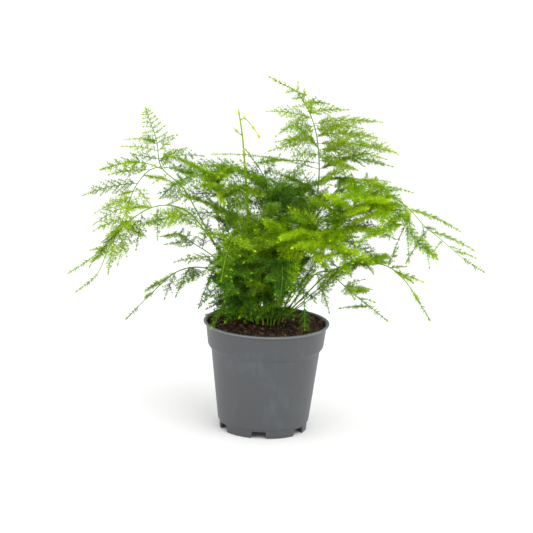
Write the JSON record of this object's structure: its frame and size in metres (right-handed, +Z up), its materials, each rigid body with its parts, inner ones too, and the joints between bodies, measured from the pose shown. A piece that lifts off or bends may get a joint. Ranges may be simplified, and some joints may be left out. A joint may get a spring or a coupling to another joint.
{
  "type": "potted asparagus fern",
  "caption": "Lace-leaved asparagus fern with arching feathery fronds, rooted in dark potting soil in a round tapered plastic nursery pot that stands on a notched foot ring.",
  "frame": {"origin": "centre of the pot's foot ring, on the surface it stands on", "axes": "+Z up; +X to the right and -Y to the front as the plant is shown, with its widest spread along X"},
  "size_m": [0.3895, 0.2615, 0.337],
  "materials": {
    "pot_plastic": "moulded, satin, slate grey, lightly scuffed",
    "potting_soil": "moist crumbly peat with bark and a few pale specks",
    "foliage_young": "young yellow-green growth, soft satin",
    "foliage_fresh": "fresh green growth, soft satin",
    "foliage_mid": "full green growth, soft satin",
    "foliage_shaded": "older dark green growth, soft satin"
  },
  "bodies": {
    "root": {"pot": "pot_plastic", "soil": "potting_soil", "frond_left_tall": "foliage_fresh", "frond_left_low": "foliage_fresh", "shoot_bare": "foliage_young", "frond_right_tall": "foliage_fresh", "frond_right_front": "foliage_young", "frond_right_low": "foliage_mid", "frond_front_bright": "foliage_young", "frond_right_back_low": "foliage_shaded", "frond_left_back_low": "foliage_shaded", "frond_left_back": "foliage_shaded", "frond_centre_back": "foliage_mid", "frond_centre_left": "foliage_mid", "frond_low_left": "foliage_mid", "frond_low_front": "foliage_mid", "frond_hanging": "foliage_mid", "frond_back": "foliage_mid", "frond_back_left": "foliage_mid", "frond_back_right": "foliage_fresh", "frond_front": "foliage_fresh"}
  },
  "joints": []
}
